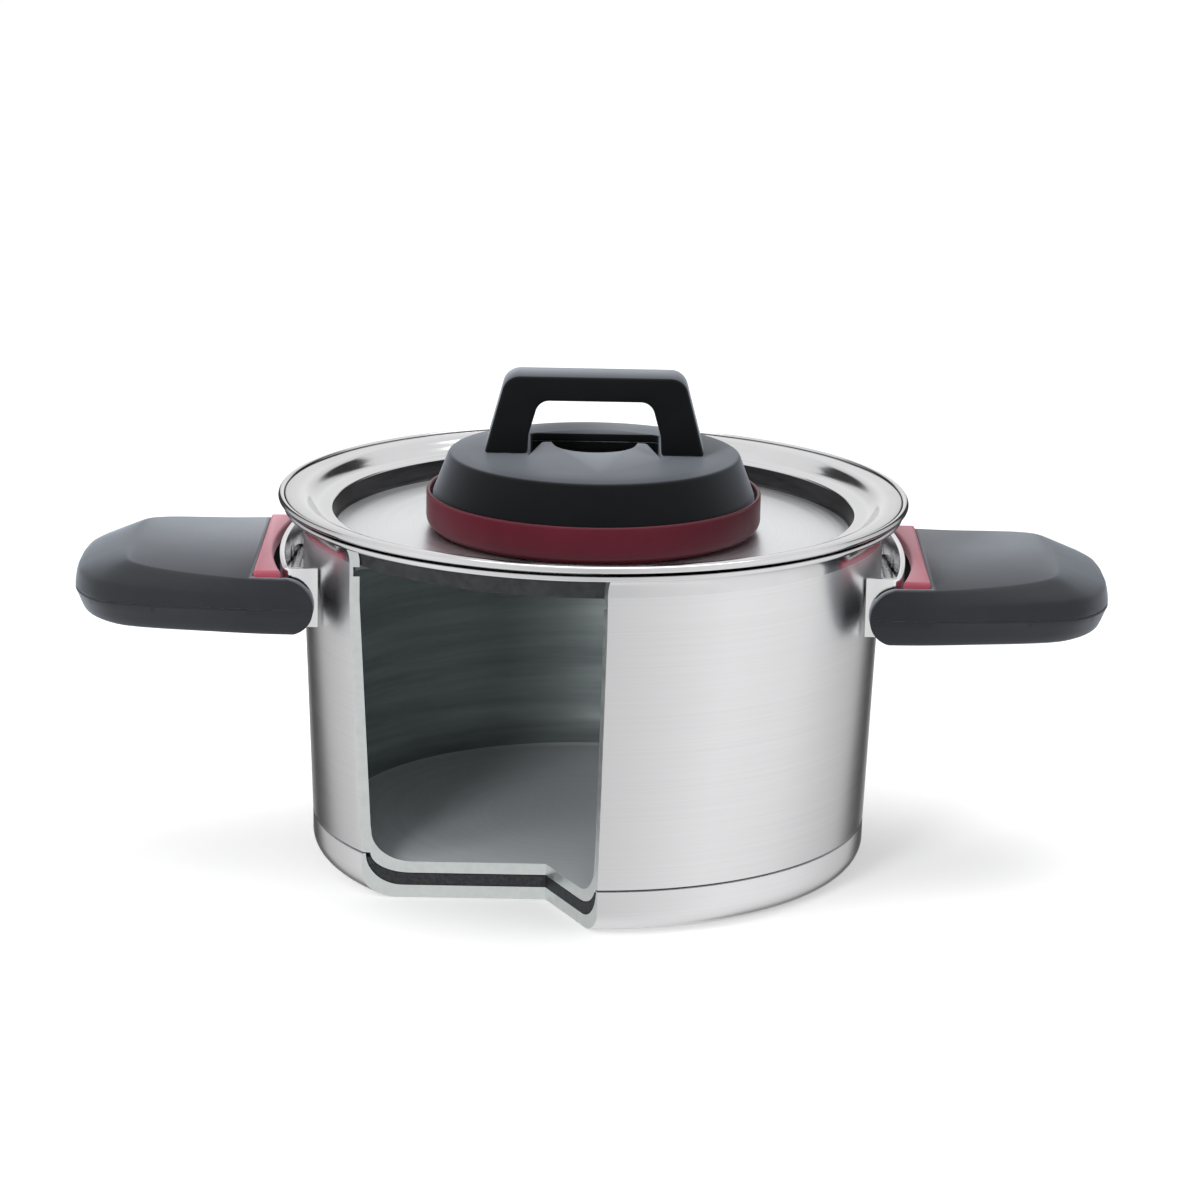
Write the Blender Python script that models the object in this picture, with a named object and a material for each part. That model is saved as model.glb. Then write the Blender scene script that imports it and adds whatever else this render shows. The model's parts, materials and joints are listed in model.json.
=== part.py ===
"""Stovetop pressure cooker, 22 cm, with a cutaway window in the front left of the pot.

Frame: metres, +Z up, origin at the centre of the flat underside, +X through the right side handle.
Lengths below are written in millimetres times MM.
"""
import math

import bmesh
import bpy
from mathutils import Matrix, Vector

MM = 0.001
GAP = 0.3 * MM                 # between pieces that touch
STEPS = 40                     # sides of the large turned pieces
SMALL_STEPS = 16               # sides of the small turned pieces
LETTERS = "abc"

# Pot
POT_R = 112.0 * MM             # outer radius of the wall
POT_FOOT_R = 108.0 * MM        # outer radius just above the capsule
WALL = 3.0 * MM
CAPSULE_TOP = 17.0 * MM
FLOOR_TOP = 14.0 * MM
FLOOR_UNDERSIDE = 9.6 * MM
CORE_UNDERSIDE = 5.0 * MM
TAPER_START = 116.0 * MM
FLARE_START = 130.5 * MM
RIM_TOP = 140.3 * MM

# Cutaway window: close it by setting WINDOW_OPEN to False
WINDOW_OPEN = True
WINDOW_Y = -66.0 * MM          # the long cut face
WINDOW_CORNER_X = -15.7 * MM   # where the cut turns towards the front
WINDOW_FRONT_X = 6.0 * MM      # where the cut leaves the front wall
WINDOW_TOP = 137.8 * MM

# Lid
DISC_UNDERSIDE = 128.6 * MM

# Knob
DOME_R = 62.0 * MM
DOME_TOP_R = 56.7 * MM
DOME_TOP = 160.2 * MM
DOME_WALL = 2.7 * MM
DOME_BOTTOM = 137.6 * MM
WELL_HALF_X = 25.2 * MM
WELL_BACK_Y = 30.0 * MM
WELL_LOBE_R = 16.0 * MM
WELL_LOBE_Y = 13.0 * MM
WELL_FLOOR = 147.6 * MM
ARCH_DEPTH = 20.0 * MM

# Lock
LOCK_TURN_DEG = 60.0
BOLT_TRAVEL = 2.4 * MM
BOLT_COUNT = 3
BOLT_FIRST_DEG = 90.0
BOLT_TIP_R = 107.9 * MM
BOLT_WIDTH = 14.0 * MM
BOLT_BOTTOM = 125.8 * MM
BOLT_TOP = 128.2 * MM
CAM_PIN_R = 56.0 * MM          # distance of the cam pins from the lid's axis
CAM_BOTTOM = 123.2 * MM
CAM_TOP = 125.2 * MM

# Valves, both in the valve block
VALVE_Y = 13.0 * MM

# Side handles, measured from the hinge axis
HINGE_X = 116.0 * MM
HINGE_Z = 108.5 * MM
FOLD_DEG = 80.0
NOSE_R = 11.0 * MM
TOP_Z = 11.0                   # millimetres: top face above the hinge axis, at the root
TOP_RISE = 2.5                 # millimetres: how far the top face climbs towards the tip
RISE_START = 10.0              # millimetres from the hinge axis
RISE_LENGTH = 50.0
HANDLE_REACH = 83.5 * MM
ROOT_CLEARANCE_R = 11.8 * MM   # upper shell round the bracket
FOLDED_CLEARANCE_R = 13.5 * MM  # lower shell, which swings under the bracket
CHEEK_Y = 44.8 * MM            # inner faces of the fork
PIN_R = 2.0 * MM
BRACKET_HALF_Y = 44.0 * MM
BRACKET_BOTTOM = 99.5 * MM
BRACKET_TOP = 122.3 * MM
BRACKET_SHEET = 1.8 * MM


# ---------------------------------------------------------------- tools

def clear_scene():
    for item in list(bpy.data.objects):
        bpy.data.objects.remove(item, do_unlink=True)


def principled(name, colour, roughness, metallic=0.0):
    mat = bpy.data.materials.new(name)
    mat.use_nodes = True
    shader = mat.node_tree.nodes["Principled BSDF"]
    shader.inputs["Base Color"].default_value = (*colour, 1.0)
    shader.inputs["Roughness"].default_value = roughness
    shader.inputs["Metallic"].default_value = metallic
    return mat


LOOKS = {
    "steel": ((0.62, 0.62, 0.63), 0.30, 1.0),
    "polished": ((0.80, 0.80, 0.81), 0.12, 1.0),
    "aluminium": ((0.10, 0.10, 0.11), 0.55, 1.0),
    "dark_steel": ((0.10, 0.10, 0.11), 0.40, 1.0),
    "black": ((0.020, 0.020, 0.022), 0.45, 0.0),
    "charcoal": ((0.075, 0.080, 0.090), 0.50, 0.0),
    "burgundy": ((0.20, 0.018, 0.035), 0.35, 0.0),
    "rubber": ((0.030, 0.032, 0.034), 0.70, 0.0),
}


def scaled(points):
    """Millimetre points as metre points."""
    return [tuple(value * MM for value in point) for point in points]


def add_object(name, bm, look, parent=None, sharp_deg=32.0):
    bmesh.ops.recalc_face_normals(bm, faces=bm.faces)
    mesh = bpy.data.meshes.new(name)
    bm.to_mesh(mesh)
    bm.free()
    mesh.shade_smooth()
    mesh.set_sharp_from_angle(angle=math.radians(sharp_deg))
    obj = bpy.data.objects.new(name, mesh)
    bpy.context.scene.collection.objects.link(obj)
    if look:
        colour, roughness, metallic = LOOKS[look]
        mesh.materials.append(principled(name + "_" + look, colour, roughness, metallic))
    obj.parent = parent
    return obj


def turn(bm, profile, steps=STEPS, centre=(0.0, 0.0), matrix=None):
    """Turn a closed (radius, height) outline about a vertical line into a closed body.

    Large pieces have a corner on each axis. Small ones start half a step on.
    """
    phase = 0.0 if steps >= STEPS else 0.5
    rings = []
    for radius, height in profile:
        if radius < 1e-7:
            rings.append([bm.verts.new((centre[0], centre[1], height))])
            continue
        ring = []
        for step in range(steps):
            angle = math.tau * (step + phase) / steps
            x = centre[0] + radius * math.cos(angle)
            y = centre[1] + radius * math.sin(angle)
            ring.append(bm.verts.new((x, y, height)))
        rings.append(ring)
    for first, second in zip(rings, rings[1:] + rings[:1]):
        if len(first) == 1 and len(second) == 1:
            continue
        for i in range(steps):
            j = (i + 1) % steps
            if len(first) == 1:
                bm.faces.new((first[0], second[j], second[i]))
            elif len(second) == 1:
                bm.faces.new((first[i], first[j], second[0]))
            else:
                bm.faces.new((first[i], first[j], second[j], second[i]))
    if matrix:
        new_verts = [vert for ring in rings for vert in ring]
        bmesh.ops.transform(bm, matrix=matrix, verts=new_verts)


def loft(bm, levels, matrix=None):
    """Closed body through rings of equal length, with a flat cap at each end."""
    rings = [[bm.verts.new(point) for point in level] for level in levels]
    count = len(rings[0])
    for lower, upper in zip(rings, rings[1:]):
        for i in range(count):
            j = (i + 1) % count
            bm.faces.new((lower[i], lower[j], upper[j], upper[i]))
    bm.faces.new(list(reversed(rings[0])))
    bm.faces.new(rings[-1])
    if matrix:
        new_verts = [vert for ring in rings for vert in ring]
        bmesh.ops.transform(bm, matrix=matrix, verts=new_verts)


def prism(bm, outline, low, high, matrix=None):
    """Outline in XY, extruded from low to high along Z."""
    loft(bm, [[(x, y, low) for x, y in outline], [(x, y, high) for x, y in outline]], matrix)


def block(bm, low, high, matrix=None):
    outline = [(low[0], low[1]), (high[0], low[1]), (high[0], high[1]), (low[0], high[1])]
    prism(bm, outline, low[2], high[2], matrix)


def rod(bm, radius, low, high, centre=(0.0, 0.0), steps=SMALL_STEPS, matrix=None):
    turn(bm, [(0, high), (radius, high), (radius, low), (0, low)], steps, centre, matrix)


def arc(centre, radii, start_deg, end_deg, count):
    """Points of an elliptical arc, both ends included."""
    points = []
    for i in range(count + 1):
        angle = math.radians(start_deg + (end_deg - start_deg) * i / count)
        points.append((centre[0] + radii[0] * math.cos(angle), centre[1] + radii[1] * math.sin(angle)))
    return points


def offset_outline(outline, distance):
    """Move every edge of a counter-clockwise outline outwards by distance."""
    moved = []
    count = len(outline)
    for i, here in enumerate(outline):
        point = Vector(here)
        before = (point - Vector(outline[i - 1])).normalized()
        after = (Vector(outline[(i + 1) % count]) - point).normalized()
        normal_before = Vector((before.y, -before.x))
        normal_after = Vector((after.y, -after.x))
        bisector = (normal_before + normal_after).normalized()
        moved.append(tuple(point + bisector * distance / bisector.dot(normal_after)))
    return moved


def coil(bm, centre, radius, wire, low, high, turns, steps_per_turn=8, sides=5):
    """Closed wire helix with flat ends, standing on Z."""
    rings = []
    total = int(turns * steps_per_turn)
    first_centre = low + wire
    rise = (high - low - 2 * wire) / total
    for step in range(total + 1):
        angle = math.tau * step / steps_per_turn
        out = Vector((math.cos(angle), math.sin(angle), 0.0))
        middle = Vector((centre[0], centre[1], first_centre + rise * step)) + out * radius
        ring = []
        for side in range(sides):
            turn_angle = math.tau * side / sides
            point = middle + out * wire * math.cos(turn_angle)
            ring.append(tuple(point + Vector((0, 0, wire * math.sin(turn_angle)))))
        rings.append(ring)
    loft(bm, rings)


def boolean(target, tool, operation="DIFFERENCE"):
    modifier = target.modifiers.new(tool.name, "BOOLEAN")
    modifier.operation = operation
    modifier.solver = "EXACT"
    modifier.object = tool
    tool.hide_render = True
    tool.display_type = "WIRE"


def turned_object(name, profile, look, steps=STEPS, centre=(0.0, 0.0)):
    bm = bmesh.new()
    turn(bm, profile, steps, centre)
    return add_object(name, bm, look)


# ---------------------------------------------------------------- pot

def make_window_cutter():
    """Upright prism that opens the front left of the pot and its base."""
    outside = POT_R + 20 * MM
    slope = (WINDOW_FRONT_X - WINDOW_CORNER_X) / (-POT_R - WINDOW_Y)
    front_x = WINDOW_CORNER_X + slope * (-outside - WINDOW_Y)
    outline = [
        (-outside, -outside),
        (front_x, -outside),
        (WINDOW_CORNER_X, WINDOW_Y),
        (-outside, WINDOW_Y),
    ]
    bm = bmesh.new()
    prism(bm, outline, -10 * MM, WINDOW_TOP)
    return add_object("window_cutter", bm, None)


def make_pot(window):
    groove_r = POT_R - 1.1 * MM
    inner_r = POT_R - WALL
    foot_inner_r = POT_FOOT_R - WALL
    flare_inner = arc((115.0 * MM, FLARE_START), (6.0 * MM, RIM_TOP - FLARE_START), 180, 90, 3)
    flare_outer = arc((115.8 * MM, FLARE_START), (3.8 * MM, 7.6 * MM), 90, 180, 2)
    rim_edge = scaled([(119.1, 140.3), (119.7, 139.7), (119.7, 138.7), (119.1, 138.1)])
    outer_corner = arc((94.0 * MM, 17.3 * MM), (11.4 * MM, 7.7 * MM), 0, -90, 3)
    inner_corner = arc((93.2 * MM, 26.0 * MM), (12.0 * MM, 12.0 * MM), -90, 0, 4)
    profile = [(0, FLOOR_TOP)] + inner_corner
    profile += [(foot_inner_r + 0.4 * MM, 28 * MM), (inner_r, TAPER_START)]
    profile += [(inner_r, 125.2 * MM), (groove_r, 125.2 * MM), (groove_r, 128.8 * MM), (inner_r, 128.8 * MM)]
    profile += flare_inner + rim_edge + flare_outer
    profile += [(POT_R, TAPER_START), (POT_FOOT_R, 17.3 * MM)]
    profile += outer_corner + [(0, FLOOR_UNDERSIDE)]
    body = turned_object("pot_body", profile, "steel")

    core_top = arc((94.0 * MM, 17.3 * MM), (11.7 * MM, 8.0 * MM), -12, -90, 3)
    core_bottom = arc((96.0 * MM, 17.0 * MM), (10.5 * MM, 12.0 * MM), -90, -8, 4)
    core_profile = [(0, FLOOR_UNDERSIDE - GAP)] + core_top[::-1] + core_bottom[::-1] + [(0, CORE_UNDERSIDE)]
    core = turned_object("base_core", core_profile, "aluminium")

    capsule_inner = arc((96.0 * MM, 17.0 * MM), (10.8 * MM, 12.3 * MM), -90, 0, 4)
    capsule_outer = arc((98.0 * MM, 9.5 * MM), (10.0 * MM, 9.5 * MM), 0, -90, 4)
    capsule_profile = [(0, CORE_UNDERSIDE - GAP)] + capsule_inner
    capsule_profile += [(POT_FOOT_R, CAPSULE_TOP)] + capsule_outer + [(0, 0)]
    capsule = turned_object("base_capsule", capsule_profile, "steel")

    if WINDOW_OPEN:
        for piece in (body, core, capsule):
            boolean(piece, window)


# ---------------------------------------------------------------- lid

def lid_profile():
    """Outer bead, flange, groove, ledge, step and disc, then back along the underside."""
    return scaled([
        (26.5, 130.0), (99.6, 130.0), (100.5, 130.9), (100.5, 137.5), (101.2, 138.1), (104.8, 138.4),
        (108.2, 140.0), (110.9, 142.3), (113.6, 143.3), (118.7, 143.5), (119.4, 143.1), (120.2, 144.2),
        (121.3, 144.0), (121.7, 143.0), (121.3, 141.9), (120.2, 141.6), (119.0, 142.1), (112.6, 142.0),
        (109.0, 138.9), (105.4, 137.1), (101.9, 136.9), (101.9, 129.3), (100.8, 128.6), (26.5, 128.6),
    ])


def make_lid():
    turned_object("lid_shell", lid_profile(), "polished")
    gasket = scaled([
        (102.2, 129.0), (108.0, 129.2), (108.5, 133.0), (110.0, 137.0),
        (111.0, 140.1), (109.0, 138.4), (105.5, 136.7), (102.2, 136.5),
    ])
    turned_object("lid_gasket", gasket, "rubber")
    ring = scaled([
        (57.6, 130.3), (60.6, 130.3), (63.4, 131.8), (64.65, 134.4), (64.65, 144.3),
        (64.1, 145.0), (63.3, 144.7), (63.0, 143.6), (63.0, 133.4), (57.6, 133.0),
    ])
    turned_object("base_ring", ring, "burgundy")
    seal = scaled([(27.2, 130.3), (31.4, 130.3), (31.6, 131.0), (31.4, 131.7), (27.2, 131.7)])
    turned_object("block_seal", seal, "rubber")


def make_bolt_guides():
    """Staples under the disc, one for each locking bolt."""
    inner = BOLT_WIDTH / 2 + 0.6 * MM
    outer = inner + 2.6 * MM
    bottom = 124.0 * MM
    bridge = 125.4 * MM
    top = DISC_UNDERSIDE - GAP
    section = [
        (-outer, bottom), (outer, bottom), (outer, top), (inner, top),
        (inner, bridge), (-inner, bridge), (-inner, top), (-outer, top),
    ]
    levels = [[(radius, side, height) for side, height in section] for radius in (84 * MM, 92 * MM)]
    for index in range(BOLT_COUNT):
        bm = bmesh.new()
        loft(bm, levels, Matrix.Rotation(bolt_heading(index), 4, "Z"))
        add_object("bolt_guide_" + LETTERS[index], bm, "dark_steel")


# ---------------------------------------------------------------- lock

def bolt_heading(index):
    return math.radians(BOLT_FIRST_DEG + 360.0 * index / BOLT_COUNT)


def make_bolts():
    half = BOLT_WIDTH / 2
    back = 48 * MM
    shoulder = BOLT_TIP_R - 1.2 * MM
    outline = [
        (back, -half), (shoulder, -half), (BOLT_TIP_R, -half * 0.55),
        (BOLT_TIP_R, half * 0.55), (shoulder, half), (back, half),
    ]
    for index in range(BOLT_COUNT):
        heading = Matrix.Rotation(bolt_heading(index), 4, "Z")
        bm = bmesh.new()
        prism(bm, outline, BOLT_BOTTOM, BOLT_TOP, heading)
        bolt = add_object("locking_bolt_" + LETTERS[index], bm, "dark_steel")
        bm = bmesh.new()
        rod(bm, 2.0 * MM, CAM_BOTTOM + 0.2 * MM, BOLT_BOTTOM + 1.0 * MM, (CAM_PIN_R, 0), 12, heading)
        pin = add_object("cam_pin_" + LETTERS[index], bm, None)
        boolean(bolt, pin, "UNION")


def cam_slot_outline(heading):
    """Slot that pushes a pin outwards by BOLT_TRAVEL as the plate turns by LOCK_TURN_DEG."""
    half = 2.4 * MM
    count = 8
    over = 3.5
    inner_side = []
    outer_side = []
    for i in range(count + 1):
        turned_deg = -over + (LOCK_TURN_DEG + 2 * over) * i / count
        angle = heading - math.radians(turned_deg)
        radius = CAM_PIN_R + BOLT_TRAVEL * turned_deg / LOCK_TURN_DEG
        out = Vector((math.cos(angle), math.sin(angle)))
        inner_side.append(tuple(out * (radius - half)))
        outer_side.append(tuple(out * (radius + half)))
    return inner_side + outer_side[::-1]


def make_cam_plate():
    bm = bmesh.new()
    turn(bm, [(24.4 * MM, CAM_TOP), (66 * MM, CAM_TOP), (66 * MM, CAM_BOTTOM), (24.4 * MM, CAM_BOTTOM)])
    plate = add_object("cam_plate", bm, "dark_steel")
    bm = bmesh.new()
    for index in range(BOLT_COUNT):
        prism(bm, cam_slot_outline(bolt_heading(index)), CAM_BOTTOM - 2 * MM, CAM_TOP + 2 * MM)
    slots = add_object("cam_slots", bm, None)
    boolean(plate, slots)
    ring = scaled([(24.4, 120.2), (31.0, 120.2), (31.0, 122.9), (24.4, 122.9)])
    turned_object("retaining_ring", ring, "steel")


# ---------------------------------------------------------------- valves

def make_valve_block():
    profile = scaled([
        (0, 141.3), (21.4, 141.3), (22.0, 140.7), (22.0, 135.0), (31.4, 135.0), (32.0, 134.4),
        (32.0, 132.0), (26.0, 132.0), (26.0, 125.5), (24.0, 125.5), (24.0, 120.0), (23.5, 119.5), (0, 119.5),
    ])
    body = turned_object("valve_block", profile, "steel", 24)
    bm = bmesh.new()
    chamber = scaled([(0, 150), (6.5, 150), (6.5, 129.0), (2.8, 127.4), (2.8, 110), (0, 110)])
    turn(bm, chamber, SMALL_STEPS, (0, VALVE_Y))
    relief = scaled([(0, 150), (5.6, 150), (5.6, 129.0), (2.4, 127.4), (2.4, 110), (0, 110)])
    turn(bm, relief, SMALL_STEPS, (0, -VALVE_Y))
    for place in BLOCK_SCREWS:
        rod(bm, 1.5 * MM, 132.6 * MM, 150 * MM, place, 12)
    bores = add_object("valve_bores", bm, None)
    boolean(body, bores)


def make_valves():
    stem = scaled([
        (0, 148.3), (1.8, 148.3), (1.8, 132.0), (4.6, 132.0), (4.6, 130.4), (2.5, 128.4),
        (2.3, 124.5), (0, 124.0),
    ])
    turned_object("valve_stem", stem, "steel", SMALL_STEPS, (0, VALVE_Y))
    button = scaled([(0, 152.6), (8.6, 152.4), (9.6, 151.4), (9.6, 149.0), (9.0, 148.6), (0, 148.6)])
    turned_object("valve_button", button, "burgundy", 24, (0, VALVE_Y))
    poppet = scaled([
        (0, 138.0), (1.6, 138.0), (1.6, 132.0), (4.2, 132.0), (4.2, 130.4), (2.1, 128.4), (1.9, 125.5), (0, 125.0),
    ])
    turned_object("safety_poppet", poppet, "steel", SMALL_STEPS, (0, -VALVE_Y))

    cap = scaled([(2.3, 141.6), (8.4, 141.6), (8.4, 143.2), (7.8, 143.8), (2.3, 143.8)])
    turned_object("valve_cap", cap, "steel", SMALL_STEPS, (0, VALVE_Y))
    relief_cap = scaled([(0, 143.6), (6.6, 143.6), (7.2, 143.0), (7.2, 141.6), (0, 141.6)])
    turned_object("safety_cap", relief_cap, "steel", SMALL_STEPS, (0, -VALVE_Y))

    springs = (("valve_spring", VALVE_Y, 3.9), ("safety_spring", -VALVE_Y, 3.4))
    for name, y, radius in springs:
        bm = bmesh.new()
        coil(bm, (0, y), radius * MM, 0.55 * MM, 132.3 * MM, 141.2 * MM, 4)
        add_object(name, bm, "steel")


# ---------------------------------------------------------------- knob

def well_outline():
    """Finger well, seen from above, counter-clockwise."""
    lobe = arc((0, WELL_LOBE_Y), (WELL_LOBE_R, WELL_LOBE_R), 187, 353, 9)
    left = scaled([(-25.2, -9.5), (-20.6, 13.4), (-19.2, 15.0), (-17.2, 14.6)])
    right = [(-x, y) for x, y in left[::-1]]
    corner = 3.5 * MM
    back_right = arc((WELL_HALF_X - corner, WELL_BACK_Y - corner), (corner, corner), 0, 90, 3)
    back_left = arc((corner - WELL_HALF_X, WELL_BACK_Y - corner), (corner, corner), 90, 180, 3)
    return left + lobe + right + back_right + back_left


def make_housing():
    slope_top = (DOME_TOP_R, 158.4 * MM)
    slope_foot = (DOME_R, 144.0 * MM)
    profile = [
        (0, DOME_TOP), (38 * MM, DOME_TOP - 0.1 * MM), (54.4 * MM, DOME_TOP - 0.6 * MM),
        (56.0 * MM, DOME_TOP - 1.0 * MM), slope_top, slope_foot, (DOME_R + 0.2 * MM, DOME_BOTTOM),
        (DOME_R - DOME_WALL, DOME_BOTTOM), (DOME_R - DOME_WALL, 143.0 * MM),
        (DOME_TOP_R - DOME_WALL, 156.4 * MM), (52.4 * MM, 157.3 * MM), (0, 157.3 * MM),
    ]
    housing = turned_object("knob_housing", profile, "black")

    bm = bmesh.new()
    for place in HOUSING_SCREWS:
        rod(bm, 4.2 * MM, DOME_BOTTOM, 158.3 * MM, place, 12)
    bosses = add_object("housing_bosses", bm, None)
    boolean(housing, bosses, "UNION")

    bm = bmesh.new()
    prism(bm, well_outline(), 150 * MM, 165 * MM)
    for place in HOUSING_SCREWS:
        rod(bm, 1.9 * MM, 130 * MM, 147 * MM, place, 12)
    for place in ARCH_SCREWS:
        rod(bm, 1.9 * MM, 150 * MM, 165 * MM, place, 12)
    openings = add_object("housing_openings", bm, None)
    boolean(housing, openings)

    outline = well_outline()
    bm = bmesh.new()
    prism(bm, offset_outline(outline, 1.8 * MM), WELL_FLOOR - 1.6 * MM, 157.0 * MM)
    well = add_object("knob_well", bm, "black")
    bm = bmesh.new()
    prism(bm, outline, WELL_FLOOR, 170 * MM)
    boolean(well, add_object("well_hollow", bm, None))
    bm = bmesh.new()
    rod(bm, 3.2 * MM, 140 * MM, 150 * MM, (0, VALVE_Y), 16)
    boolean(well, add_object("well_stem_hole", bm, None))


def on_circle(radius, first_deg):
    """Three places evenly round a circle about the lid's axis."""
    angles = [math.radians(first_deg + 120 * index) for index in range(3)]
    return [(radius * math.cos(angle), radius * math.sin(angle)) for angle in angles]


def screw(name, profile, place, parent=None):
    bm = bmesh.new()
    turn(bm, profile, 10, place)
    add_object(name, bm, "steel", parent)


def make_base_plate():
    low = 135.3 * MM
    high = 137.3 * MM
    bm = bmesh.new()
    turn(bm, [(22.4 * MM, high), (60.6 * MM, high), (60.6 * MM, low), (22.4 * MM, low)])
    plate = add_object("knob_base_plate", bm, "black")
    holes = bmesh.new()
    from_below = scaled([(0, 146), (1.5, 146), (1.5, 135.0), (3.2, 135.0), (3.2, 133.8), (0, 133.4)])
    from_above = scaled([(0, 139.4), (2.6, 139.0), (2.6, 137.6), (1.2, 137.6), (1.2, 132.9), (0, 132.9)])
    for letter, place in zip(LETTERS, HOUSING_SCREWS):
        rod(holes, 1.9 * MM, 130 * MM, 140 * MM, place, 12)
        screw("housing_screw_" + letter, from_below, place)
    for letter, place in zip(LETTERS, BLOCK_SCREWS):
        rod(holes, 1.5 * MM, 130 * MM, 140 * MM, place, 12)
        screw("block_screw_" + letter, from_above, place)
    cutter = add_object("base_plate_holes", holes, None)
    boolean(plate, cutter)


def arch_outline():
    """Outline of the arch in XZ: outer side over the top, then the opening."""
    outer_corner = arc((28.8 * MM, 183.8 * MM), (7.0 * MM, 7.0 * MM), 14, 90, 5)
    outer_left = [(-x, z) for x, z in outer_corner[::-1]]
    inner_corner = arc((17.5 * MM, 175.9 * MM), (5.4 * MM, 5.4 * MM), 15, 90, 4)
    inner_left = [(-x, z) for x, z in inner_corner]
    foot = 160.5 * MM
    outline = [(25.7 * MM, foot), (42.3 * MM, foot)] + outer_corner + outer_left
    outline += [(-42.3 * MM, foot), (-25.7 * MM, foot), (-25.2 * MM, 168.5 * MM)]
    outline += inner_left + inner_corner[::-1] + [(25.2 * MM, 168.5 * MM)]
    return outline


def make_arch():
    half = ARCH_DEPTH / 2
    upright = Matrix.Rotation(math.radians(90), 4, "X")
    bm = bmesh.new()
    prism(bm, arch_outline(), -half, half, upright)
    arch = add_object("arch_handle", bm, "black")
    bevel = arch.modifiers.new("edges", "BEVEL")
    bevel.width = 1.0 * MM
    bevel.segments = 1
    bevel.limit_method = "ANGLE"
    bevel.angle_limit = math.radians(60)

    holes = bmesh.new()
    profile = scaled([(0, 172), (1.5, 172), (1.5, 157.0), (3.0, 157.0), (3.0, 155.6), (0, 155.2)])
    for side, place in zip(("left", "right"), ARCH_SCREWS):
        rod(holes, 1.9 * MM, 150 * MM, 173 * MM, place, 12)
        screw("arch_screw_" + side, profile, place)
    cutter = add_object("arch_screw_holes", holes, None)
    boolean(arch, cutter)


# ---------------------------------------------------------------- side handles

def bulge(half_y, edge_x, middle_x, count=10):
    """Points of a flat arc from -half_y to half_y, furthest out in the middle."""
    points = []
    for i in range(count + 1):
        y = -half_y + 2 * half_y * i / count
        points.append((middle_x - (middle_x - edge_x) * (y / half_y) ** 2, y))
    return points


def top_height(x):
    """Height of the top face, which curves up a little towards the tip."""
    share = min(max((x - RISE_START) / RISE_LENGTH, 0.0), 1.08)
    return TOP_Z + TOP_RISE * share ** 1.7


def handle_levels(side):
    """Outlines of one shell of the side handle, from the seam outwards."""
    seam = [
        (-12, 54.6), (8, 54.6), (30, 53.0), (48, 51.0), (62, 48.2),
        (71, 43.8), (77.5, 35.5), (81.8, 24.0), (83.5, 8.0),
    ]
    top = [
        (-12, 51.6), (8, 51.0), (26, 47.8), (42, 44.4), (53, 40.6),
        (59.5, 35.5), (62.0, 28.0), (63.0, 17.0), (63.3, 6.0),
    ]
    foot = [
        (-12, 50.6), (8, 50.2), (30, 47.6), (48, 45.0), (60, 42.0),
        (68, 37.5), (74, 30.5), (78, 20.0), (79.8, 7.0),
    ]
    if side == "upper":
        stages = [(0.0, 0.014), (0.05, 0.46), (0.80, 0.89), (0.94, 0.97), (1.03, 1.0)]
        far = top
    else:
        stages = [(0.0, 0.15), (0.55, 6.5), (0.86, 9.4), (1.05, 10.5)]
        far = foot
    levels = []
    for share, depth in stages:
        half = []
        for (seam_x, seam_y), (far_x, far_y) in zip(seam, far):
            height = depth * top_height(far_x) if side == "upper" else -depth
            half.append((seam_x + (far_x - seam_x) * share, seam_y + (far_y - seam_y) * share, height))
        levels.append(scaled(half + [(x, -y, z) for x, y, z in half[::-1]]))
    return levels


def shell_body(bm, levels):
    """Closed body through mirrored rings, capped with strips across its width."""
    rings = [[bm.verts.new(point) for point in level] for level in levels]
    count = len(rings[0])
    for lower, upper in zip(rings, rings[1:]):
        for i in range(count):
            j = (i + 1) % count
            bm.faces.new((lower[i], lower[j], upper[j], upper[i]))
    for ring in (rings[0], rings[-1]):
        for i in range(count // 2 - 1):
            bm.faces.new((ring[i], ring[i + 1], ring[count - 2 - i], ring[count - 1 - i]))


def side_profile():
    """Outline of the handle in XZ about the hinge axis: round nose, flat top, sloping foot and tip."""
    nose = arc((0, 0), (NOSE_R, NOSE_R), 82, 270, 10)
    reach = HANDLE_REACH + 2 * MM
    above = 18 * MM
    far = [(60 * MM, -10.7 * MM), (reach, -7.6 * MM), (reach, above), (10 * MM, above), (4 * MM, 12 * MM)]
    return nose + far


def fold_clearance():
    """The pot's wall, as the folded handle sees it, in the handle's own frame."""
    return Matrix.Rotation(math.radians(-FOLD_DEG), 4, "Y") @ Matrix.Translation((-HINGE_X, 0, 0))


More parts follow.
